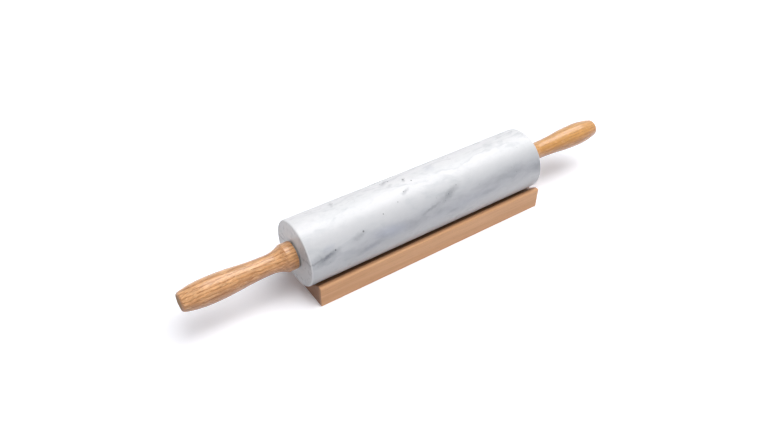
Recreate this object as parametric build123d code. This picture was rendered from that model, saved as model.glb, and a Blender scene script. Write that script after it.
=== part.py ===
"""Marble rolling pin resting in its wooden cradle.

X runs along the pin, from the left handle to the right handle.
Y runs across the pin and Z points up.
The origin lies on the table, straight below the middle of the marble.
All lengths are in millimetres.
"""
from build123d import *
import os
from math import sqrt

# Marble barrel
barrel_length = 252.0
barrel_diameter = 60.0
barrel_rim_round = 1.6
bore_diameter = 16.0

# Wooden cradle
cradle_length = 247.0
cradle_height = 21.2
cradle_offset = 4.2
groove_depth = 9.35
groove_easing = 8.0
land_width = 4.3
cradle_top_round = 1.8
cradle_foot_round = 0.8
cradle_end_chamfer = 0.5

# Turned handles
handle_length = 100.0
collar_diameter = 24.8
collar_length = 9.0
collar_end_chamfer = 0.8
neck_diameter = 17.1
neck_place_share = 0.23
belly_diameter = 22.6
belly_place_share = 0.745
shoulder_diameter = 17.2
shoulder_place_share = 0.97
tip_facet_diameter = 9.6

# Axle rod
rod_diameter = 8.0
rod_end_chamfer = 0.8

# Flanged bearing bushes, pressed into the ends of the bore
bush_length = 20.0
bush_lead_chamfer = 1.0
flange_thickness = 2.0
flange_rim = 3.0

# Thrust washers
washer_thickness = 1.2
washer_bearing = 1.6

# Lock nuts
nut_sides = 6
nut_across_flats = 13.0
nut_thickness = 5.0

# Threaded inserts in the handles
insert_diameter = 12.0
insert_length = 18.0
rod_stop_short = 2.0

# Clearances
seat_clearance = 0.3
running_clearance = 0.05
pressed_clearance = 0.02
thread_clearance = 0.02
washer_hole_clearance = 0.2
flange_clearance = 0.3
thrust_play = 0.2
nut_recess = 0.3
nut_wrench_clearance = 1.0

# Sizes that follow from the ones above
barrel_radius = barrel_diameter / 2
rod_radius = rod_diameter / 2
groove_radius = barrel_radius + groove_easing
groove_half_width = sqrt(groove_depth * (2 * groove_radius - groove_depth))
groove_bottom = cradle_height - groove_depth
cradle_width = 2 * (groove_half_width + land_width)
axis_height = groove_bottom + seat_clearance + barrel_radius

flange_radius = bore_diameter / 2 + flange_rim
nut_corner_radius = nut_across_flats / sqrt(3)
nut_pocket_radius = nut_corner_radius + nut_wrench_clearance
washer_radius = nut_pocket_radius + washer_bearing

# Stations along the axis, counted from the middle of the barrel to the right
barrel_end = barrel_length / 2
washer_start = barrel_end + thrust_play
handle_start = washer_start + washer_thickness
nut_start = handle_start + nut_recess
insert_start = nut_start + nut_thickness
insert_end = insert_start + insert_length
rod_end = insert_end - rod_stop_short

half_turn = 180.0
right = 1
left = -1
side_names = {left: "left", right: "right"}
rightward = (1, 0)
leftward = (-1, 0)


def turned(outline):
    """Solid of revolution about the X axis, from a closed outline of (place, radius)."""
    return revolve(Plane.XZ * make_face(outline), axis=Axis.X)


def round_bar(start, end, radius):
    """Plain cylinder about the X axis between two stations."""
    return turned(Polyline((start, 0), (start, radius), (end, radius), (end, 0), close=True))


def rim_edges(solid, place):
    """The circular edges of a turned piece that lie in one plane across the axis."""
    return solid.edges().filter_by(GeomType.CIRCLE).filter_by_position(Axis.X, place, place)


def on_axis(piece, side=right):
    """Lift a piece built along X to the height of the pin, at its right or left end."""
    turn = 0 if side == right else half_turn
    return Pos(0, 0, axis_height) * Rot(0, 0, turn) * piece


def cradle():
    """One hardwood bar with a round groove along its top, a little wider than the barrel."""
    bar = Pos(cradle_offset, 0, cradle_height / 2) * Box(cradle_length, cradle_width, cradle_height)
    groove_start = cradle_offset - cradle_length
    groove_end = cradle_offset + cradle_length
    bar -= Pos(0, 0, groove_bottom + groove_radius) * round_bar(groove_start, groove_end, groove_radius)
    bar = fillet(bar.edges().filter_by(Axis.X).group_by(Axis.Z)[-1], cradle_top_round)
    bar = fillet(bar.edges().filter_by(Axis.X).group_by(Axis.Z)[0], cradle_foot_round)
    ends = bar.faces().filter_by(Axis.X)
    return chamfer(ends.edges(), cradle_end_chamfer)


def marble_barrel():
    """Polished cylinder with rounded rims, a through bore and a shallow flange seat at each end."""
    barrel = round_bar(-barrel_end, barrel_end, barrel_radius)
    barrel = fillet(barrel.edges().filter_by(GeomType.CIRCLE), barrel_rim_round)
    barrel -= round_bar(-barrel_end, barrel_end, bore_diameter / 2)
    seat_radius = flange_radius + flange_clearance
    barrel -= round_bar(barrel_end - flange_thickness, barrel_end, seat_radius)
    barrel -= round_bar(-barrel_end, flange_thickness - barrel_end, seat_radius)
    return on_axis(barrel)


def axle_rod():
    """Steel rod through the whole barrel, into the insert of each handle."""
    rod = round_bar(-rod_end, rod_end, rod_radius)
    rod = chamfer(rod.edges().filter_by(GeomType.CIRCLE), rod_end_chamfer)
    return on_axis(rod)


def bearing_bush():
    """Sleeve in the bore, with a flange that lies flush in the face of the marble."""
    inner_end = barrel_end - bush_length
    flange_back = barrel_end - flange_thickness
    sleeve_radius = bore_diameter / 2 - pressed_clearance
    bush = round_bar(inner_end, barrel_end, sleeve_radius)
    bush = chamfer(rim_edges(bush, inner_end), bush_lead_chamfer)
    bush += round_bar(flange_back, barrel_end, flange_radius)
    return bush - round_bar(inner_end, barrel_end, rod_radius + running_clearance)


def thrust_washer():
    """Flat ring on the rod, between the flange of the bush and the handle."""
    ring = round_bar(washer_start, handle_start, washer_radius)
    return ring - round_bar(washer_start, handle_start, rod_radius + washer_hole_clearance)


def lock_nut():
    """Hexagon nut on the rod, tightened against the face of the insert."""
    hexagon = RegularPolygon(nut_across_flats / 2, nut_sides, major_radius=False)
    nut = Pos(nut_start, 0, 0) * extrude(Plane.YZ * hexagon, nut_thickness)
    return nut - round_bar(nut_start, insert_start, rod_radius + thread_clearance)


def handle_insert():
    """Brass sleeve in the handle that takes the end of the rod."""
    sleeve = round_bar(insert_start, insert_end, insert_diameter / 2)
    return sleeve - round_bar(insert_start, insert_end, rod_radius + thread_clearance)


def turned_grip():
    """Solid handle as it leaves the lathe: collar, cove, neck, long swelling and blunt tip."""
    handle_end = handle_start + handle_length
    collar_end = (handle_start + collar_length, collar_diameter / 2)
    neck = (handle_start + neck_place_share * handle_length, neck_diameter / 2)
    belly = (handle_start + belly_place_share * handle_length, belly_diameter / 2)
    middle = ((neck[0] + belly[0]) / 2, (neck[1] + belly[1]) / 2)
    shoulder_end = (handle_start + shoulder_place_share * handle_length, shoulder_diameter / 2)
    facet_rim = (handle_end, tip_facet_diameter / 2)
    collar = Polyline(
        (handle_start, 0),
        (handle_start, collar_diameter / 2 - collar_end_chamfer),
        (handle_start + collar_end_chamfer, collar_diameter / 2),
        collar_end,
    )
    cove = TangentArc(neck, collar_end, tangent=leftward)
    hollow = TangentArc(neck, middle, tangent=rightward)
    swelling = TangentArc(middle, belly, tangent=hollow % 1)
    shoulder = TangentArc(belly, shoulder_end, tangent=rightward)
    nose = TangentArc(shoulder_end, facet_rim, tangent=shoulder % 1)
    tip = Polyline(facet_rim, (handle_end, 0), (handle_start, 0))
    return turned(collar + cove + hollow + swelling + shoulder + nose + tip)


def handle():
    """Turned hardwood handle with a pocket for the nut and a hole for the insert."""
    grip = turned_grip()
    grip -= round_bar(handle_start, insert_start, nut_pocket_radius)
    return grip - round_bar(insert_start, insert_end, insert_diameter / 2 + pressed_clearance)


def parts_of_both_ends():
    """The pieces that the pin has once at each end, each under its own name."""
    makers = {
        "bearing_bush": bearing_bush,
        "thrust_washer": thrust_washer,
        "lock_nut": lock_nut,
        "handle_insert": handle_insert,
        "handle": handle,
    }
    pieces = {}
    for name, make in makers.items():
        piece = make()
        for side, side_name in side_names.items():
            pieces[side_name + "_" + name] = on_axis(piece, side)
    return pieces


pieces = {
    "cradle": cradle(),
    "marble_barrel": marble_barrel(),
    "axle_rod": axle_rod(),
}
pieces.update(parts_of_both_ends())

os.makedirs("parts", exist_ok=True)
for name, piece in pieces.items():
    export_step(piece, "parts/" + name + ".step")
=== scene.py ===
"""Marble rolling pin on its cradle.

Fine turned surfaces, marble, wood and metal finishes, and a plain studio.
Sizes of the part are in metres; places in the materials are in millimetres from the pin's middle.
"""
from math import cos, pi, radians, sin

import bmesh
import bpy
import numpy as np
from mathutils import Matrix, Vector


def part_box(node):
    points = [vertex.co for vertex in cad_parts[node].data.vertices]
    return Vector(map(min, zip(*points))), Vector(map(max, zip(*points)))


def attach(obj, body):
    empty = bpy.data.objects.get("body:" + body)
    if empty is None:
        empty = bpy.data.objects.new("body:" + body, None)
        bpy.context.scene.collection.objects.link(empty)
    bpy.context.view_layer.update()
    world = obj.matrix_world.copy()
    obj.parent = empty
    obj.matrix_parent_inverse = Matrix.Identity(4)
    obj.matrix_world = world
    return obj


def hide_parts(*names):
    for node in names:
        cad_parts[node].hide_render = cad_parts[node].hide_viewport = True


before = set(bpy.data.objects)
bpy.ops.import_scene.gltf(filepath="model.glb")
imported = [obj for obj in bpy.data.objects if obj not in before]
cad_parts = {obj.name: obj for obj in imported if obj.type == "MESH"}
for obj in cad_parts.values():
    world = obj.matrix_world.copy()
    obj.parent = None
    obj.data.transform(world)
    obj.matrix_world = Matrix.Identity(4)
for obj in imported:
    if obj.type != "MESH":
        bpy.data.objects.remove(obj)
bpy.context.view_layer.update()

MM = 0.001

# Sizes read from the frame, in metres
barrel_low, barrel_high = (Vector(corner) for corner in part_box("marble_barrel"))
cradle_low, cradle_high = (Vector(corner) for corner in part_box("cradle"))
grip_low, grip_high = (Vector(corner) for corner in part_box("right_handle"))
bush_low, bush_high = (Vector(corner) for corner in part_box("right_bearing_bush"))
insert_low, insert_high = (Vector(corner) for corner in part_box("right_handle_insert"))
AXIS_HEIGHT = (barrel_low.z + barrel_high.z) / 2
BARREL_RADIUS = (barrel_high.z - barrel_low.z) / 2
BARREL_END = barrel_high.x
COLLAR_RADIUS = (grip_high.z - grip_low.z) / 2
HANDLE_START = grip_low.x
HANDLE_LENGTH = grip_high.x - grip_low.x
FLANGE_RADIUS = (bush_high.z - bush_low.z) / 2


# Outlines and surfaces

WELD_DISTANCE = 0.0001 * MM


def arc(centre, radius, start, end, count):
    """Points on a circle about centre, from one angle to another in degrees, evenly spaced."""
    angles = np.radians(np.linspace(start, end, count))
    return np.array(centre) + radius * np.column_stack([np.cos(angles), np.sin(angles)])


def tangent_arc(start, direction, end, count):
    """Points on the arc that leaves start along direction and ends at end.

    The centre lies on the normal n at start, at the distance |chord|^2 / (2 chord.n).
    """
    start, end = np.array(start, float), np.array(end, float)
    normal = np.array([-direction[1], direction[0]], float) / np.hypot(*direction)
    chord = end - start
    reach = chord @ chord / (2 * chord @ normal)
    centre = start + reach * normal
    first = np.arctan2(*(start - centre)[::-1])
    turn = np.arctan2(*(end - centre)[::-1]) - first
    turn = (turn + pi) % (2 * pi) - pi
    angles = first + np.linspace(0, turn, count)
    return centre + abs(reach) * np.column_stack([np.cos(angles), np.sin(angles)])


def rounded(points, corner, radius, count=7):
    """Outline with the corner at the given index turned into an arc of that radius."""
    before, here, after = (np.array(points[i]) for i in (corner - 1, corner, corner + 1))
    to_before = (before - here) / np.linalg.norm(before - here)
    to_after = (after - here) / np.linalg.norm(after - here)
    half = np.arccos(np.clip(to_before @ to_after, -1, 1)) / 2
    reach = radius / np.tan(half)
    start = here + to_before * reach
    return [*points[:corner], *tangent_arc(start, -to_before, here + to_after * reach, count),
            *points[corner + 1:]]


def add_mesh(name, points, faces, sharp_angle):
    """Mesh object at the origin from points and faces, smooth except at edges sharper than the angle."""
    mesh = bpy.data.meshes.new(name)
    mesh.from_pydata(points.tolist(), [], faces)
    work = bmesh.new()
    work.from_mesh(mesh)
    bmesh.ops.remove_doubles(work, verts=work.verts, dist=WELD_DISTANCE)
    bmesh.ops.recalc_face_normals(work, faces=work.faces)
    work.to_mesh(mesh)
    work.free()
    mesh.shade_smooth()
    mesh.set_sharp_from_angle(angle=radians(sharp_angle))
    piece = bpy.data.objects.new(name, mesh)
    bpy.context.scene.collection.objects.link(piece)
    return piece


def grid_faces(rows, columns, closed_rows):
    """Quads between neighbouring rows of a grid whose columns close on themselves."""
    first_rows = np.arange(rows if closed_rows else rows - 1)
    row, column = np.meshgrid(first_rows, np.arange(columns), indexing="ij")
    next_row, next_column = (row + 1) % rows, (column + 1) % columns
    corners = [row * columns + column, next_row * columns + column,
               next_row * columns + next_column, row * columns + next_column]
    return np.stack([corner.ravel() for corner in corners], axis=1).tolist()


def lathe(name, outline, around, side=1, closed=False, sharp_angle=28):
    """Surface of revolution about the pin's axis.

    The point (place, radius) of the outline goes to x = side * place, y = -radius cos(turn),
    z = axis height + radius sin(turn), for turn from 0 to a full circle.
    """
    outline = np.array(outline)
    turn = np.arange(around) * (2 * pi / around)
    place, radius = outline[:, :1], outline[:, 1:]
    grid = np.stack(np.broadcast_arrays(side * place, -radius * np.cos(turn),
                                        AXIS_HEIGHT + radius * np.sin(turn)), axis=-1)
    return add_mesh(name, grid.reshape(-1, 3), grid_faces(len(outline), around, closed), sharp_angle)


# Pieces

RIM_ROUND = 1.6 * MM
FLANGE_CLEARANCE = 0.3 * MM
SEAT_RADIUS = FLANGE_RADIUS + FLANGE_CLEARANCE
SEAT_DEPTH = 2.0 * MM
BORE_RADIUS = 8.0 * MM
BARREL_SIDES = 288
SIDE_RINGS, RIM_RINGS, FACE_RINGS = 60, 12, 12


def marble_roller():
    """Polished cylinder with rounded rims, a through bore and a flange seat in each end."""
    side_end, face_start = BARREL_END - RIM_ROUND, BARREL_RADIUS - RIM_ROUND
    seat_floor = BARREL_END - SEAT_DEPTH
    half = [np.array([place, BARREL_RADIUS]) for place in np.linspace(0, side_end, SIDE_RINGS)]
    half += [*arc((side_end, face_start), RIM_ROUND, 90, 0, RIM_RINGS)[1:]]
    face_radii = np.linspace(face_start, SEAT_RADIUS, FACE_RINGS)[1:]
    half += [np.array([BARREL_END, radius]) for radius in face_radii]
    half += [np.array([seat_floor, SEAT_RADIUS]), np.array([seat_floor, BORE_RADIUS])]
    half += [np.array([0, BORE_RADIUS])]
    mirrored = [point * (-1, 1) for point in half[1:-1]]
    return lathe("marble_roller", half + mirrored[::-1], BARREL_SIDES, closed=True)


# The handle's half outline: NECK, BELLY and SHOULDER are a share of its length and the radius there
COLLAR_LENGTH = 9.0 * MM
COLLAR_END_ROUND = 0.9 * MM
CREST_ROUND = 0.5 * MM
NECK = (0.23, 8.55 * MM)
BELLY = (0.745, 11.3 * MM)
SHOULDER = (0.97, 8.6 * MM)
TIP_FACET_RADIUS = 4.8 * MM
TIP_DOME = 0.6 * MM
TIP_ROUND = 3.0 * MM
NUT_POCKET_RADIUS = 8.5 * MM
INSERT_HOLE_RADIUS = 6.02 * MM
HANDLE_SIDES = 160
# How many points each arc has, and at which of them a rounding of the crest or of the tip's rim meets it
COVE_POINTS, HOLLOW_POINTS, SWELLING_POINTS, BROW_POINTS, NOSE_POINTS, DOME_POINTS = 26, 24, 24, 26, 16, 8
COVE_MEETS, NOSE_MEETS, DOME_MEETS = 4, 8, 4


def handle_outline():
    """Half outline of the turned handle, from the bottom of the insert's hole round to the tip."""
    end = HANDLE_START + HANDLE_LENGTH
    collar_end = HANDLE_START + COLLAR_LENGTH
    neck, belly, shoulder = ((HANDLE_START + share * HANDLE_LENGTH, radius)
                             for share, radius in (NECK, BELLY, SHOULDER))
    middle = ((neck[0] + belly[0]) / 2, (neck[1] + belly[1]) / 2)
    cove = tangent_arc(neck, (-1, 0), (collar_end, COLLAR_RADIUS), COVE_POINTS)[::-1]
    hollow = tangent_arc(neck, (1, 0), middle, HOLLOW_POINTS)
    swelling = tangent_arc(middle, hollow[-1] - hollow[-2], belly, SWELLING_POINTS)
    brow = tangent_arc(belly, (1, 0), shoulder, BROW_POINTS)
    facet_rim = (end - TIP_DOME, TIP_FACET_RADIUS)
    nose = tangent_arc(shoulder, brow[-1] - brow[-2], facet_rim, NOSE_POINTS)
    dome = tangent_arc((end, 0.0), (0, 1), facet_rim, DOME_POINTS)[::-1]
    tip = rounded([nose[NOSE_MEETS], facet_rim, dome[DOME_MEETS]], 1, TIP_ROUND)
    face = [(insert_high.x, 0.0), (insert_high.x, INSERT_HOLE_RADIUS), (insert_low.x, INSERT_HOLE_RADIUS),
            (insert_low.x, NUT_POCKET_RADIUS), (HANDLE_START, NUT_POCKET_RADIUS),
            (HANDLE_START, COLLAR_RADIUS), (collar_end, COLLAR_RADIUS), tuple(cove[COVE_MEETS])]
    end_corner, crest_corner = 5, 6
    face = rounded(face, crest_corner, CREST_ROUND)
    face = rounded(face, end_corner, COLLAR_END_ROUND)
    return np.vstack([face, cove[COVE_MEETS + 1:], hollow[1:], swelling[1:], brow[1:],
                      nose[1:NOSE_MEETS], tip, dome[DOME_MEETS + 1:]])


def turned_handle(name, side):
    """Varnished handle, turned about the axis from its half outline."""
    return lathe(name, handle_outline(), HANDLE_SIDES, side)


LAND_WIDTH = 4.3 * MM
GROOVE_EASING = 8.0 * MM
SEAT_CLEARANCE = 0.3 * MM
GROOVE_RADIUS = BARREL_RADIUS + GROOVE_EASING
GROOVE_BOTTOM = AXIS_HEIGHT - BARREL_RADIUS - SEAT_CLEARANCE
TOP_ROUND = 1.8 * MM
FOOT_ROUND = 0.8 * MM
END_ROUND = 0.5 * MM
GROOVE_POINTS, EDGE_POINTS, END_STEPS, BAR_RINGS = 64, 9, 6, 60
GROOVE_MEETS = 3


def cradle_section():
    """Cross-section (y, z) of the cradle, with rounded edges and the groove as one arc."""
    half_width, top = cradle_high.y, cradle_high.z
    half_groove = half_width - LAND_WIDTH
    groove_angle = np.degrees(np.arcsin(half_groove / GROOVE_RADIUS))
    centre = (0, GROOVE_BOTTOM + GROOVE_RADIUS)
    groove = arc(centre, GROOVE_RADIUS, -90 + groove_angle, -90 - groove_angle, GROOVE_POINTS)
    right_half = [(0.0, 0.0), (half_width, 0.0), (half_width, top), tuple(groove[0]),
                  tuple(groove[GROOVE_MEETS])]
    for corner, radius in ((3, TOP_ROUND), (2, TOP_ROUND), (1, FOOT_ROUND)):
        right_half = rounded(right_half, corner, radius, EDGE_POINTS)
    right_half = np.array(right_half[1:-1])
    return np.vstack([right_half, groove[GROOVE_MEETS:-GROOVE_MEETS], right_half[::-1] * (-1, 1)])


def cradle_bar():
    """The grooved bar: its section carried along X, drawn in by a quarter round at each end.

    At the distance d from an end the outline shrinks by END_ROUND (1 - sqrt(1 - (1 - d / END_ROUND)^2)).
    """
    section = cradle_section()
    ahead = np.roll(section, -1, axis=0) - np.roll(section, 1, axis=0)
    inward = np.column_stack([-ahead[:, 1], ahead[:, 0]]) / np.linalg.norm(ahead, axis=1)[:, None]
    quarter = np.radians(np.linspace(0, 90, END_STEPS))
    depth, shrink = END_ROUND * (1 - np.cos(quarter)), END_ROUND * (1 - np.sin(quarter))
    middle = np.linspace(cradle_low.x + END_ROUND, cradle_high.x - END_ROUND, BAR_RINGS)[1:-1]
    places = np.concatenate([cradle_low.x + depth, middle, cradle_high.x - depth[::-1]])
    inset = np.concatenate([shrink, 0 * middle, shrink[::-1]])
    outline = section + inset[:, None, None] * inward
    along = np.broadcast_to(places[:, None, None], outline.shape[:2] + (1,))
    grid = np.concatenate([along, outline], axis=-1)
    count = len(section)
    faces = grid_faces(len(places), count, False)
    faces += [list(range(count)), list(range((len(places) - 1) * count, len(places) * count))]
    return add_mesh("cradle_bar", grid.reshape(-1, 3), faces, sharp_angle=40)


# Finishes: noise scales are features per millimetre; limits of steps are noise values, or places in
# millimetres from the pin's middle

class Finish:
    """A procedural material, with short calls that add and wire its nodes."""

    def __init__(self, name):
        self.material = bpy.data.materials.new(name)
        self.material.use_nodes = True
        self.tree = self.material.node_tree
        self.shader = next(node for node in self.tree.nodes if node.type == "BSDF_PRINCIPLED")
        coordinates = self.tree.nodes.new("ShaderNodeTexCoord")
        self.normal = coordinates.outputs["Normal"]
        to_axis, to_millimetres = (0, 0, -AXIS_HEIGHT / MM), (1 / MM,) * 3
        self.place = self.mapping(coordinates.outputs["Object"], to_axis, scale=to_millimetres)

    def add(self, kind, inputs=(), **settings):
        """New node of a kind; inputs maps socket names or places to values or to other nodes' sockets."""
        node = self.tree.nodes.new("ShaderNode" + kind)
        for key, value in settings.items():
            setattr(node, key, value)
        for key, value in dict(inputs).items():
            self.put(node.inputs[key], value)
        return node

    def put(self, socket, value):
        """Wires a socket to another, or gives it a fixed value."""
        if isinstance(value, bpy.types.NodeSocket):
            self.tree.links.new(value, socket)
        elif isinstance(value, tuple) and len(value) == 3 and len(socket.default_value) == 4:
            socket.default_value = (*value, 1)
        else:
            socket.default_value = value

    def mapping(self, vector, location=(0, 0, 0), rotation=(0, 0, 0), scale=(1, 1, 1), kind="POINT"):
        """Coordinates moved, turned and scaled."""
        inputs = {"Vector": vector, "Location": location, "Rotation": rotation, "Scale": scale}
        return self.add("Mapping", inputs, vector_type=kind).outputs[0]

    def noise(self, vector, scale, detail=4.0, roughness=0.5, distortion=0.0, output="Fac"):
        """Cloudy noise, from 0 to 1, with features about 1 / scale across."""
        inputs = {"Vector": vector, "Scale": scale, "Detail": detail, "Roughness": roughness,
                  "Distortion": distortion}
        return self.add("TexNoise", inputs).outputs[output]

    def math(self, operation, first, second=0.0, third=0.0):
        """One arithmetic step on numbers."""
        return self.add("Math", {0: first, 1: second, 2: third}, operation=operation).outputs[0]

    def vector(self, operation, *values, output="Vector"):
        """One arithmetic step on vectors."""
        return self.add("VectorMath", dict(enumerate(values)), operation=operation).outputs[output]

    def shifted(self, place, cloud, reach):
        """Coordinates moved by a coloured noise, up to half the reach along each axis."""
        return self.vector("MULTIPLY_ADD", self.vector("SUBTRACT", cloud, (0.5, 0.5, 0.5)), reach, place)

    def step(self, value, start, end, low=0.0, high=1.0):
        """Smooth step of a number, from low at start to high at end."""
        inputs = {"Value": value, 1: start, 2: end, 3: low, 4: high}
        return self.add("MapRange", inputs, interpolation_type="SMOOTHSTEP").outputs[0]

    def mix(self, share, first, second, blend="MIX"):
        """Two colours mixed by a share."""
        node = self.add("Mix", {0: share, 6: first, 7: second}, data_type="RGBA", blend_type=blend)
        return node.outputs[2]

    def axes(self, vector):
        """The three numbers of a vector: along the pin, across it and upwards."""
        outputs = self.add("SeparateXYZ", {0: vector}).outputs
        return outputs["X"], outputs["Y"], outputs["Z"]

    def end_faces(self):
        """How far a face looks along the axis, from 0 to 1."""
        return self.math("ABSOLUTE", self.axes(self.normal)[0])

    def bump(self, height, distance, strength=1.0):
        """Relief of the given depth in metres, wired to the shader."""
        node = self.add("Bump", {"Height": height, "Distance": distance, "Strength": strength})
        self.put(self.shader.inputs["Normal"], node.outputs[0])

    def settle(self, **values):
        """Sets the shader's own sockets; colour and roughness may be wired."""
        for key, value in values.items():
            self.put(self.shader.inputs[key.replace("_", " ")], value)
        return self.material


def surface_frame(angle, slope):
    """Axes of a spot on the barrel: along the mark, across it, and outwards, as an Euler turn.

    The angle runs up round the barrel from its front; the slope lifts the mark from the axis's direction.
    """
    along = Vector((1, 0, 0))
    upward = Vector((0, sin(angle), cos(angle)))
    outward = Vector((0, -cos(angle), sin(angle)))
    first = along * cos(slope) + upward * sin(slope)
    second = upward * cos(slope) - along * sin(slope)
    return Matrix((first, second, outward)).transposed().to_euler(), outward


# Marks in the marble: place along the axis (mm), angle round it and slope (degrees), length and width (mm),
# how dark
GREY_MARKS = [
    (-112, 19, 11, 21, 9.0, 0.52),
    (-109, 20, 14, 13, 3.4, 0.60),
    (-79, 30, 14, 12, 4.5, 0.48),
    (-68, 4, 12, 24, 4.0, 0.45),
    (-5, 24, 12, 16, 2.0, 0.60),
    (19, 37, 21, 14, 4.6, 0.60),
    (10, 32, 18, 28, 7.0, 0.45),
    (18, 3, 10, 11, 2.5, 0.30),
    (62, 10, 6, 22, 3.5, 0.25),
    (84, 29, 3, 44, 8.0, 0.34),
    (122, 16, 2, 12, 10.0, 0.30),
    (-31, 106, 40, 8, 4.0, 0.50),
    (-30, 91, 30, 5, 3.0, 0.35),
    (-15, 92, 60, 5, 2.2, 0.60),
    (-21, 68.5, 20, 7, 2.6, 0.60),
    (-85, 105, 75, 8, 2.4, 0.40),
    (-62, 150, 16, 30, 5.0, 0.42),
    (34, 166, 10, 38, 7.0, 0.34),
    (88, 141, 22, 17, 3.6, 0.50),
    (-84, 178, 8, 20, 5.0, 0.36),
    (-8, 204, 14, 32, 5.0, 0.42),
    (70, 236, 10, 30, 6.0, 0.38),
    (-70, 262, 12, 34, 6.0, 0.36),
    (20, 300, 9, 40, 7.0, 0.32),
]
BLUE_MARKS = [
    (-48, 16, -9, 27, 9.0, 1.0),
    (-69, 3, 10, 15, 5.0, 0.65),
    (-107, 31, 14, 9, 4.0, 0.55),
    (14, 98, 60, 10, 8.0, 0.45),
    (36, 8, 3, 60, 9.0, 0.34),
]
# Specks: place along the axis (mm), angle round it (degrees), radius (mm)
SPECKS = [
    (-101.8, 24.8, 1.15), (-73.2, 34.7, 1.25), (-50.4, 47.7, 0.75), (-33.0, 56.5, 0.6), (-27.0, 105.0, 0.9),
    (-15.0, 93.5, 1.1), (-9.4, 84.3, 0.9), (-34.5, 107.0, 0.7), (-109.5, 20.5, 0.6), (16.5, 36.0, 0.6),
    (-23.0, 69.5, 0.7), (27.0, 45.0, 0.55),
]


def marks(finish, place, rows):
    """Sum of soft oval marks on the barrel's surface, from 0 to about 1."""
    total = 0.0
    for along, angle, slope, length, width, strength in rows:
        turn, outward = surface_frame(radians(angle), radians(slope))
        centre = Vector((along, 0, 0)) + outward * (BARREL_RADIUS / MM)
        local = finish.mapping(place, tuple(centre), tuple(turn), (length, width, width * 1.6), "TEXTURE")
        distance = finish.vector("LENGTH", local, output="Value")
        mark = finish.step(distance, 1.0, 0.0, 0.0, strength)
        total = finish.math("ADD", mark, total)
    return total


def sheet(finish, place, through, normal, thickness):
    """A flat sheet of colour through a point, used for veins and for painted shade: 1 on its plane, 0 beyond
    its thickness.
    """
    normal = Vector(normal).normalized()
    height = finish.vector("DOT_PRODUCT", place, tuple(normal), output="Value")
    height = finish.math("ABSOLUTE", finish.math("SUBTRACT", height, normal.dot(Vector(through))))
    return finish.step(height, thickness, 0.0)


STONE_WHITE, STONE_MIST = (0.91, 0.91, 0.925), (0.85, 0.862, 0.877)
# The first grey is painted shade on the front; the seam's grey is partly painted shade
SHADE_GREY, SEAM_AND_SHADE_GREY, BACK_SEAM_GREY = (0.42, 0.43, 0.45), (0.40, 0.41, 0.445), (0.48, 0.50, 0.53)
VEIN_GREY, PATCH_BLUE, MARK_GREY = (0.50, 0.53, 0.56), (0.50, 0.53, 0.62), (0.24, 0.25, 0.28)
CRACK_GREY, SPECK_BLACK, SMUDGE_GREY = (0.22, 0.22, 0.25), (0.08, 0.08, 0.10), (0.60, 0.62, 0.65)
CRYSTAL_GREY, END_FACE_GREY, RIM_HIGHLIGHT_WHITE = (0.55, 0.56, 0.58), (0.42, 0.42, 0.43), (0.97, 0.97, 0.98)
# Sheets of colour through the stone: a point in each (mm), its normal, its thickness (mm)
# The broad sheet is painted shade; the seam's sheet is partly painted shade
BROAD_SHADE_SHEET = (0, -22.3, 20.1), (0, 0.669, 0.743), 19.0
SEAM_AND_SHADE_SHEET = (0, -28, 7.5), (-0.02, 0, 1), 16.0
CRACK_SHEET = (-126, -27.3, 7.5), (-0.21, 0.11, 0.97), 1.3
# Where the front and the low part that carry painted shade, the back, the seam's dark part and the cracked
# end begin, and are full (mm)
FRONT_EDGE, LOW_SHADE_EDGE, BACK_EDGE = (-5, -18), (5, -9), (20, 31)
SEAM_EDGE, CRACK_EDGE = (-112, -62), (-100, -116)
WARP_SCALE, RAGGED_SCALE, CLOUD_SCALE, FIBRE_SCALE, RIDGE_SCALE = 0.035, 0.30, 0.05, 0.16, 0.035
GRAIN_SCALE, MOTTLE_SCALE, CRYSTAL_SCALE = 0.16, 0.26, 1.6
WARP_REACH, BENT_REACH, RAGGED_REACH = (16, 16, 16), (10, 4, 4.5), (7, 4.5, 4.5)
FLOW_SLOPE, FLOW_STRETCH = radians(13), (0.28, 1, 1)
# How much of each layer covers the ones below it
BROAD_SHADE_SHARE, LOW_SHADE_SHARE, BACK_SHARE, VEIN_SHARE, BLUE_SHARE = 0.46, 0.37, 0.5, 0.35, 0.6
MARK_SHARE, SPECK_SHARE, CRYSTAL_SHARE, RIM_HIGHLIGHT_SHARE = 0.8, 0.85, 0.05, 0.45
SPECK_DEPTH = 0.06 * MM


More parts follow.
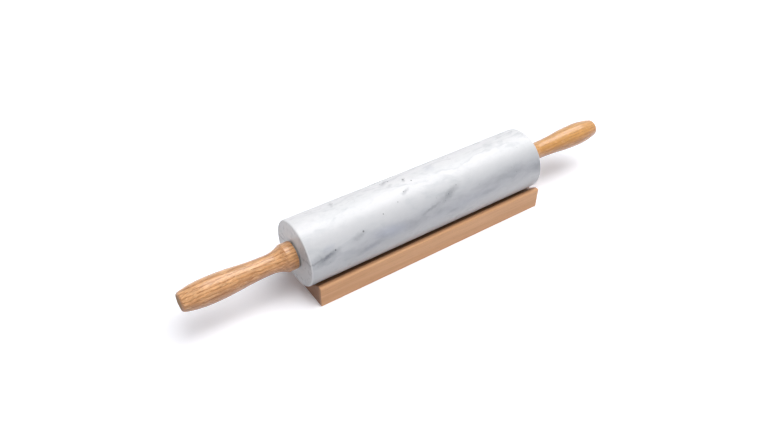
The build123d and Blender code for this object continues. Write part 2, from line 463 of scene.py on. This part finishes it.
def marble():
    """White marble with a grey seam low on its front, slanting veins, blue-grey patches and dark specks.
    Broad grey tones on the front are painted shade, the seam is partly painted shade, and the whiter rims
    are a painted highlight.
    """
    finish = Finish("white_marble")
    place = finish.place
    sway = finish.noise(place, WARP_SCALE, 3.0, output="Color")
    tatter = finish.noise(place, RAGGED_SCALE, 5.0, 0.65, output="Color")
    bent = finish.shifted(place, sway, BENT_REACH)
    ragged = finish.shifted(place, tatter, RAGGED_REACH)
    warped = finish.shifted(place, sway, WARP_REACH)
    flow = finish.mapping(warped, rotation=(0, FLOW_SLOPE, 0), scale=FLOW_STRETCH)
    clouds = finish.noise(flow, CLOUD_SCALE, 6.0, 0.55, 0.2)
    fibres = finish.noise(flow, FIBRE_SCALE, 4.0, 0.5, 0.2)
    streaks = finish.step(fibres, 0.25, 0.75, 0.75, 1.15)

    colour = finish.mix(finish.step(clouds, 0.35, 0.72), STONE_WHITE, STONE_MIST)
    # Painted shade: broad grey tones on the front and on its low part, set by the brightness that the stone
    # shows there
    along, across, height = finish.axes(bent)
    front = finish.step(across, *FRONT_EDGE)
    broad = finish.math("MULTIPLY", sheet(finish, bent, *BROAD_SHADE_SHEET), front)
    colour = finish.mix(finish.math("MULTIPLY", broad, BROAD_SHADE_SHARE), colour, SHADE_GREY)
    low = finish.math("MULTIPLY", finish.step(height, *LOW_SHADE_EDGE), front)
    colour = finish.mix(finish.math("MULTIPLY", low, LOW_SHADE_SHARE), colour, SHADE_GREY)
    # A grey seam low on the front, partly painted shade
    seam = finish.math("MULTIPLY", sheet(finish, bent, *SEAM_AND_SHADE_SHEET), front)
    seam = finish.math("MULTIPLY", seam, finish.step(along, *SEAM_EDGE, 0.45, 0.80))
    colour = finish.mix(finish.math("MULTIPLY", seam, streaks), colour, SEAM_AND_SHADE_GREY)
    back_seam = finish.math("MULTIPLY", finish.step(across, *BACK_EDGE), streaks)
    colour = finish.mix(finish.math("MULTIPLY", back_seam, BACK_SHARE), colour, BACK_SEAM_GREY)

    ridge = finish.noise(flow, RIDGE_SCALE, 5.0, 0.5, 0.6)
    ridge = finish.math("ABSOLUTE", finish.math("SUBTRACT", ridge, 0.5))
    vein = finish.math("MULTIPLY", finish.step(ridge, 0.045, 0.0), finish.step(fibres, 0.38, 0.7))
    colour = finish.mix(finish.math("MULTIPLY", vein, VEIN_SHARE), colour, VEIN_GREY)
    blue = finish.math("MULTIPLY", marks(finish, ragged, BLUE_MARKS), BLUE_SHARE)
    colour = finish.mix(blue, colour, PATCH_BLUE)
    grey = finish.math("MULTIPLY", marks(finish, ragged, GREY_MARKS), streaks)
    colour = finish.mix(finish.math("MULTIPLY", grey, MARK_SHARE), colour, MARK_GREY)
    crack = sheet(finish, ragged, *CRACK_SHEET)
    near_end = finish.step(finish.axes(place)[0], *CRACK_EDGE, 0.0, 0.45)
    colour = finish.mix(finish.math("MULTIPLY", crack, near_end), colour, CRACK_GREY)

    specks = 0.0
    for speck_along, angle, radius in SPECKS:
        outward = surface_frame(radians(angle), 0)[1]
        centre = Vector((speck_along, 0, 0)) + outward * (BARREL_RADIUS / MM)
        distance = finish.vector("LENGTH", finish.vector("SUBTRACT", place, tuple(centre)), output="Value")
        specks = finish.math("MAXIMUM", finish.step(distance, radius, radius * 0.25), specks)
    grains = finish.add("TexVoronoi", {"Vector": place, "Scale": GRAIN_SCALE}).outputs["Distance"]
    clouded = finish.step(clouds, 0.5, 0.66, 0.0, 0.5)
    grains = finish.math("MULTIPLY", finish.step(grains, 0.1, 0.04), clouded)
    specks = finish.math("MAXIMUM", specks, grains)
    colour = finish.mix(finish.math("MULTIPLY", specks, SPECK_SHARE), colour, SPECK_BLACK)
    mottling = finish.noise(finish.mapping(ragged, scale=(0.6, 1, 1)), MOTTLE_SCALE, 5.0, 0.6)
    colour = finish.mix(finish.step(mottling, 0.42, 0.68, 0.0, 0.16), colour, SMUDGE_GREY)
    crystals = finish.mix(finish.noise(place, CRYSTAL_SCALE, 3.0, 0.6), CRYSTAL_GREY, (1, 1, 1))
    colour = finish.mix(CRYSTAL_SHARE, colour, crystals, "MULTIPLY")
    facing_end = finish.end_faces()
    # The end faces are greyer
    colour = finish.mix(finish.step(facing_end, 0.7, 0.98, 0.0, 0.18), colour, END_FACE_GREY)
    # Painted highlight: the rounded rims between the end faces and the side are whiter
    rim = finish.math("MULTIPLY", finish.step(facing_end, 0.1, 0.45), finish.step(facing_end, 0.97, 0.8))
    colour = finish.mix(finish.math("MULTIPLY", rim, RIM_HIGHLIGHT_SHARE), colour, RIM_HIGHLIGHT_WHITE)
    finish.bump(finish.math("MULTIPLY", specks, -1.0), SPECK_DEPTH, 0.4)
    return finish.settle(Base_Color=colour, Roughness=finish.step(fibres, 0.2, 0.8, 0.26, 0.33), IOR=1.48,
                         Specular_IOR_Level=0.18)


RING_WIDTH = 3.1
PORE_DEPTH = 0.13 * MM
OAK_COAT, OAK_END_COAT = 0.9, 0.05
OAK_ROUGHNESS, OAK_END_ROUGHNESS = 0.42, 0.87
# Where the browner lower half, which is painted shade, begins, and is full (mm), and how the rings lean from
# the axis
BROWN_SHADE_EDGE, RING_LEAN = (8.5, -1.0), (0, radians(1.2), radians(1.5))
# How much of each layer covers the ones below it, and how much darker some of its colours are
BROWN_SHADE_SHARE, NOSE_SHARE, END_GRAIN_SHARE = 0.42, 0.45, 0.85
RING_SHARE, HAIR_SHARE, STREAK_SHARE, PORE_SHARE = 0.5, 0.45, 0.6, 0.85
FIGURE_SHADE, PORE_SHADE = 0.36, 0.7
OAK_PALE_STREAK, OAK_NOSE_BROWN, OAK_END_GRAIN = (0.95, 0.62, 0.33), (0.34, 0.12, 0.04), (0.40, 0.265, 0.155)


def oak(name, heart, light, dark, open_grain):
    """Varnished oak: growth rings about a distant heart, dark open pores in long broken lines.

    It is browner below the axis, as painted shade, and its end grain is matte.
    """
    finish = Finish(name)
    slow = finish.noise(finish.mapping(finish.place, scale=(0.55, 1, 1)), 0.05, 3.0, 0.6, output="Color")
    sway = finish.shifted(finish.place, slow, (0, 7, 7))
    from_heart = finish.mapping(sway, heart, RING_LEAN, (0.0, 1, 1))
    distance = finish.vector("LENGTH", from_heart, output="Value")
    rings = finish.math("FRACT", finish.math("DIVIDE", distance, RING_WIDTH))
    early = finish.math("MULTIPLY", finish.step(rings, 0.0, 0.15), finish.step(rings, 0.62, 0.25))
    dashes = finish.noise(finish.mapping(sway, scale=(0.11, 1, 1)), 1.2, 4.0, 0.7)
    hairs = finish.noise(finish.mapping(sway, scale=(0.06, 1, 1)), 2.4, 3.0, 0.6)
    figure = finish.noise(finish.mapping(sway, scale=(0.24, 1, 1)), 0.42, 4.0, 0.68)
    pale = finish.noise(finish.mapping(sway, scale=(0.16, 1, 1)), 0.85, 4.0, 0.68)
    pores = finish.math("MULTIPLY", finish.math("MULTIPLY_ADD", early, 0.75, 0.25),
                        finish.step(dashes, 0.46, 0.62))
    colour = finish.mix(finish.step(figure, 0.36, 0.64), light,
                        tuple((1 - FIGURE_SHADE * open_grain) * part for part in light))
    # Painted shade: the lower half is browner
    colour = finish.mix(finish.step(finish.axes(sway)[2], *BROWN_SHADE_EDGE, 0.0, BROWN_SHADE_SHARE), colour, dark)
    colour = finish.mix(finish.math("MULTIPLY", early, RING_SHARE * open_grain), colour, dark)
    colour = finish.mix(finish.step(hairs, 0.48, 0.68, 0.0, HAIR_SHARE * open_grain), colour, dark)
    streaks = finish.step(pale, 0.52, 0.68, 0.0, STREAK_SHARE * open_grain)
    colour = finish.mix(streaks, colour, OAK_PALE_STREAK)
    colour = finish.mix(finish.math("MULTIPLY", pores, PORE_SHARE * open_grain), colour,
                        tuple(PORE_SHADE * part for part in dark))
    facing_end = finish.end_faces()
    colour = finish.mix(finish.step(facing_end, 0.25, 0.7, 0.0, NOSE_SHARE), colour, OAK_NOSE_BROWN)
    ends = finish.step(facing_end, 0.86, 0.96)
    colour = finish.mix(finish.math("MULTIPLY", ends, END_GRAIN_SHARE), colour, OAK_END_GRAIN)
    relief = finish.math("MULTIPLY_ADD", pores, -1.0, finish.math("MULTIPLY", hairs, -0.4))
    finish.bump(relief, PORE_DEPTH, 0.8)
    coat = finish.math("MULTIPLY_ADD", ends, OAK_END_COAT - OAK_COAT, OAK_COAT)
    roughness = finish.math("MULTIPLY_ADD", ends, OAK_END_ROUGHNESS - OAK_ROUGHNESS, OAK_ROUGHNESS)
    return finish.settle(Base_Color=colour, Roughness=roughness, Specular_IOR_Level=0.3, Coat_Weight=coat,
                         Coat_Roughness=0.18)


BEECH_LIGHT, BEECH_DARK = (0.80, 0.45, 0.235), (0.71, 0.37, 0.178)
BEECH_LINE, BEECH_FLECK = (0.50, 0.23, 0.11), (0.34, 0.15, 0.07)
BEECH_END, BEECH_GROOVE_SHADE = (0.30, 0.15, 0.09), (0.16, 0.07, 0.035)
FLECK_SHARE, GROOVE_SHADE_SHARE, LINE_SHARE, END_SHARE = 0.4, 0.75, 0.4, 0.6
GRAIN_DEPTH = 0.06 * MM
# Edges of the painted shade in the groove (mm): across the groove, and up its sides
GROOVE_SHADE_EDGE, GROOVE_SHADE_TOP = (29.3, 24.4), (-17.0, -20.5)


def beech():
    """Satin beech: fine straight grain, faint bands and short dark flecks.

    It is darker on the sawn ends, and carries painted shade in the groove.
    """
    finish = Finish("beech")
    bands = finish.noise(finish.mapping(finish.place, scale=(0.02, 1, 1)), 0.25, 5.0, 0.6)
    lines = finish.noise(finish.mapping(finish.place, scale=(0.018, 1, 1)), 1.9, 3.0, 0.6)
    flecks = finish.noise(finish.mapping(finish.place, scale=(0.22, 1, 1)), 2.6, 2.0)
    flecks = finish.step(flecks, 0.60, 0.72)
    colour = finish.mix(finish.step(bands, 0.3, 0.7), BEECH_LIGHT, BEECH_DARK)
    colour = finish.mix(finish.step(lines, 0.42, 0.75, 0.0, LINE_SHARE), colour, BEECH_LINE)
    colour = finish.mix(finish.math("MULTIPLY", flecks, FLECK_SHARE), colour, BEECH_FLECK)
    colour = finish.mix(finish.step(finish.end_faces(), 0.6, 0.9, 0.0, END_SHARE), colour, BEECH_END)
    across, height = finish.axes(finish.place)[1:]
    # Painted shade: the groove and the land beside it are darker
    inside = finish.step(finish.math("ABSOLUTE", across), *GROOVE_SHADE_EDGE)
    groove = finish.math("MULTIPLY", inside, finish.step(height, *GROOVE_SHADE_TOP))
    colour = finish.mix(finish.math("MULTIPLY", groove, GROOVE_SHADE_SHARE), colour, BEECH_GROOVE_SHADE)
    finish.bump(finish.math("ADD", lines, flecks), GRAIN_DEPTH, 0.5)
    return finish.settle(Base_Color=colour, Roughness=finish.step(bands, 0.2, 0.8, 0.42, 0.55))


CUT_DEPTH = 0.02 * MM
TARNISH_SHADE = 0.72
ROUGHNESS_RANGE = 0.12


def metal(name, colour, roughness):
    """Turned metal: fine rings about the axis and a little tarnish."""
    finish = Finish(name)
    cuts = finish.noise(finish.mapping(finish.place, scale=(9.0, 0.3, 0.3)), 1.0, 2.0)
    tarnish = finish.noise(finish.place, 0.25, 3.0)
    dull = tuple(TARNISH_SHADE * part for part in colour)
    finish.bump(cuts, CUT_DEPTH, 0.5)
    return finish.settle(Base_Color=finish.mix(finish.step(tarnish, 0.4, 0.7), colour, dull), Metallic=1.0,
                         Roughness=finish.step(cuts, 0.2, 0.8, roughness, roughness + ROUGHNESS_RANGE))


NYLON_LIGHT, NYLON_DARK = (0.80, 0.79, 0.74), (0.73, 0.71, 0.65)


def nylon():
    """Natural moulded nylon, off-white and slightly waxy."""
    finish = Finish("natural_nylon")
    mottle = finish.noise(finish.place, 0.3, 3.0)
    colour = finish.mix(finish.step(mottle, 0.3, 0.7), NYLON_LIGHT, NYLON_DARK)
    return finish.settle(Base_Color=colour, Roughness=finish.step(mottle, 0.3, 0.7, 0.38, 0.5))


def dress(piece, material, body, slot, *nodes):
    """Gives a new piece its finish and its body, and hides the nodes that it stands for. The slot is not
    used.
    """
    piece.data.materials.append(material)
    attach(piece, body)
    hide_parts(*nodes)


def refinish(material, *nodes):
    """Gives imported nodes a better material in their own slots."""
    for name in nodes:
        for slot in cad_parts[name].material_slots:
            slot.link = "OBJECT"
            slot.material = material


dress(marble_roller(), marble(), "roller", "marble", "marble_barrel")
near_oak = oak("near_oak", heart=(0, 45, 45), light=(0.87, 0.465, 0.20), dark=(0.46, 0.155, 0.03),
               open_grain=0.9)
far_oak = oak("far_oak", heart=(0, 52, 34), light=(0.76, 0.37, 0.09), dark=(0.43, 0.125, 0.012),
              open_grain=0.42)
dress(turned_handle("near_handle", -1), near_oak, "grip", "handle_wood", "left_handle")
dress(turned_handle("far_handle", 1), far_oak, "grip", "handle_wood", "right_handle")
dress(cradle_bar(), beech(), "cradle", "cradle_wood", "cradle")
refinish(metal("drawn_steel", colour=(0.56, 0.57, 0.58), roughness=0.28), "axle_rod")
refinish(metal("zinc_plate", colour=(0.62, 0.63, 0.66), roughness=0.32),
         "left_thrust_washer", "right_thrust_washer", "left_lock_nut", "right_lock_nut")
refinish(metal("machined_brass", colour=(0.68, 0.47, 0.19), roughness=0.25),
         "left_handle_insert", "right_handle_insert")
refinish(nylon(), "left_bearing_bush", "right_bearing_bush")


# Studio

def add_node(tree, kind, **inputs):
    """New shader node with its input values set."""
    node = tree.nodes.new("ShaderNode" + kind)
    for name, value in inputs.items():
        node.inputs[name].default_value = value
    return node


def white_rays(tree, path, choice):
    """Lets the camera, gloss and glass see the second shader of a mix, and all other light the first."""
    share = path.outputs["Is Camera Ray"]
    for ray in ("Is Glossy Ray", "Is Transmission Ray"):
        either = add_node(tree, "Math")
        either.operation = "MAXIMUM"
        tree.links.new(share, either.inputs[0])
        tree.links.new(path.outputs[ray], either.inputs[1])
        share = either.outputs[0]
    tree.links.new(share, choice.inputs[0])


FLOOR_SIZE = 12
FLOOR_SEEN = (1.19, 1.20, 1.25, 1)
FLOOR_THROWN = (0.50, 0.51, 0.535, 1)


def pale_floor():
    """Large plain floor: white to the camera, with the object's shadow, and pale grey to the object."""
    bpy.ops.mesh.primitive_plane_add(size=FLOOR_SIZE, location=(0, 0, 0))
    floor = bpy.context.object
    floor.name = "floor"
    material = bpy.data.materials.new("pale_floor")
    material.use_nodes = True
    tree = material.node_tree
    tree.nodes.clear()
    output, path = add_node(tree, "OutputMaterial"), add_node(tree, "LightPath")
    shaded = add_node(tree, "BsdfDiffuse", Color=FLOOR_SEEN)
    thrown = add_node(tree, "BsdfDiffuse", Color=FLOOR_THROWN)
    choice = add_node(tree, "MixShader")
    white_rays(tree, path, choice)
    tree.links.new(thrown.outputs[0], choice.inputs[1])
    tree.links.new(shaded.outputs[0], choice.inputs[2])
    tree.links.new(choice.outputs[0], output.inputs["Surface"])
    floor.data.materials.append(material)


SKY_TINT = (0.98, 0.97, 1.0, 1)
WHITE = (1, 1, 1, 1)


def white_surroundings(strength):
    """World that shows white to the camera and in gloss, and lights the object softly from all round."""
    world = bpy.data.worlds.new("studio")
    bpy.context.scene.world = world
    world.use_nodes = True
    tree = world.node_tree
    tree.nodes.clear()
    output, path = add_node(tree, "OutputWorld"), add_node(tree, "LightPath")
    soft = add_node(tree, "Background", Color=SKY_TINT, Strength=strength)
    white = add_node(tree, "Background", Color=WHITE, Strength=1.0)
    choice = add_node(tree, "MixShader")
    white_rays(tree, path, choice)
    tree.links.new(soft.outputs[0], choice.inputs[1])
    tree.links.new(white.outputs[0], choice.inputs[2])
    tree.links.new(choice.outputs[0], output.inputs["Surface"])


def soft_light(name, strength, spread, lean_front, lean_right):
    """Broad soft light; the leans are degrees from straight down, to the front and to the right."""
    lamp = bpy.data.lights.new(name, "SUN")
    lamp.energy = strength
    lamp.angle = radians(spread)
    light = bpy.data.objects.new(name, lamp)
    source = Vector((np.tan(radians(lean_right)), -np.tan(radians(lean_front)), 1.0))
    light.rotation_euler = source.to_track_quat("Z", "Y").to_euler()
    light.visible_glossy = False
    bpy.context.scene.collection.objects.link(light)


def strip_light(radiance, centre, length, width):
    """Long overhead strip that shows only as the white line in polish and varnish."""
    lamp = bpy.data.lights.new("strip", "AREA")
    lamp.shape = "RECTANGLE"
    lamp.size, lamp.size_y = length, width
    lamp.energy = radiance * pi * length * width
    light = bpy.data.objects.new("strip", lamp)
    light.location = centre
    light.visible_diffuse = False
    bpy.context.scene.collection.objects.link(light)


# Camera, fitted to the outlines in the photograph (780 by 438)

PHOTO_WIDTH = 780
SENSOR_WIDTH = 36
FOCAL_PIXELS = 710.44
AZIMUTH, ELEVATION, ROLL = radians(-34.913), radians(39.686), radians(0.715)
TARGET = Vector((-25.754, 5.171, 30.0)) * MM
DISTANCE = 646.57 * MM


def photographers_camera():
    """Camera on the sphere round the target, turned about its line of sight by the roll."""
    back = Vector((sin(AZIMUTH) * cos(ELEVATION), -cos(AZIMUTH) * cos(ELEVATION), sin(ELEVATION)))
    right = (-back).cross(Vector((0, 0, 1))).normalized()
    up = right.cross(-back)
    rolled_right = right * cos(ROLL) + up * sin(ROLL)
    rolled_up = up * cos(ROLL) - right * sin(ROLL)
    data = bpy.data.cameras.new("camera")
    data.sensor_width = SENSOR_WIDTH
    data.lens = FOCAL_PIXELS / PHOTO_WIDTH * SENSOR_WIDTH
    camera = bpy.data.objects.new("camera", data)
    turn = Matrix((rolled_right, rolled_up, back)).transposed().to_4x4()
    camera.matrix_world = Matrix.Translation(TARGET + back * DISTANCE) @ turn
    bpy.context.scene.collection.objects.link(camera)
    bpy.context.scene.camera = camera


pale_floor()
white_surroundings(strength=0.23)
soft_light("key", strength=2.44, spread=54, lean_front=17, lean_right=16)
soft_light("fill", strength=0.52, spread=50, lean_front=20, lean_right=-62)
strip_light(radiance=3.6, centre=(0.45, 0.13, 0.80), length=1.2, width=0.70)
photographers_camera()
bpy.context.scene.view_settings.view_transform = "Standard"
